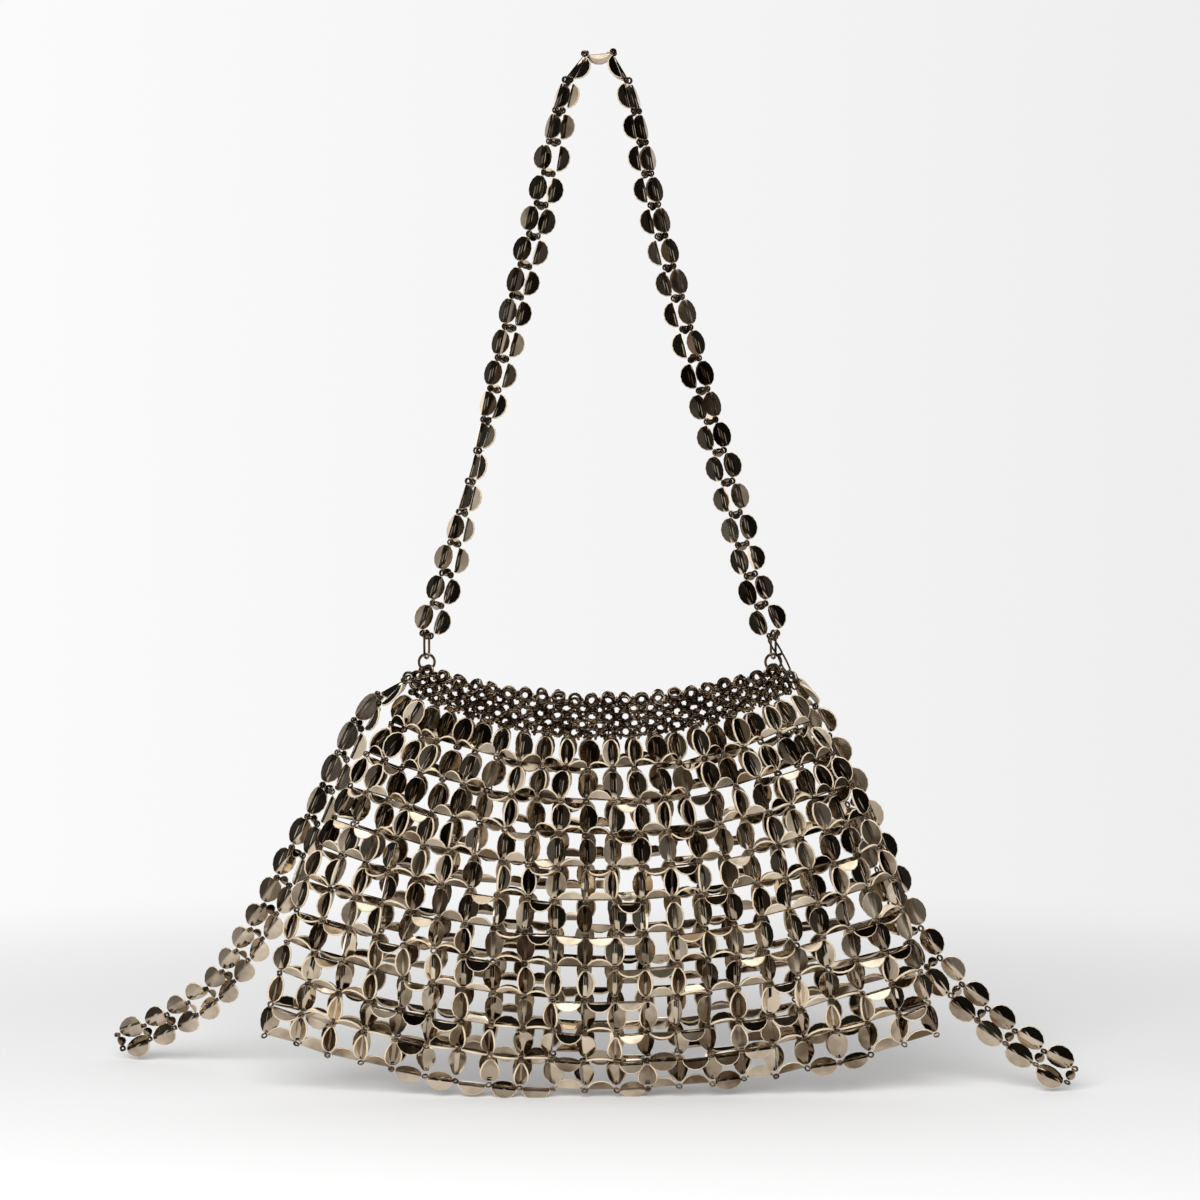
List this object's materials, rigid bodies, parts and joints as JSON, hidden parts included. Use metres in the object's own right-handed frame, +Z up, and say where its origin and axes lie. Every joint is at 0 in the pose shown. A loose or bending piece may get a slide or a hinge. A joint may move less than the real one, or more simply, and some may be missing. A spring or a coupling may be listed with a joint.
{
  "type": "metal mesh purse",
  "caption": "Small open-net shoulder purse of folded metal discs, with a fine ring-mesh band at the mouth, a ladder-chain strap and two chain tails.",
  "frame": {"origin": "the point that the strap hangs from, under the middle of its top", "axes": "+Z up, -Y out of the front face, +X towards the right side as seen from the front"},
  "size_m": [0.3858, 0.1016, 0.4007],
  "materials": {
    "discs": "polished champagne plate",
    "rings": "polished champagne plate"
  },
  "bodies": {
    "root": {"net_front": "discs", "net_back": "discs", "mesh_band": "rings", "strap_left": "discs", "strap_right": "discs", "tail_left": "discs", "tail_right": "discs", "link_left": "rings", "link_right": "rings"}
  },
  "joints": []
}
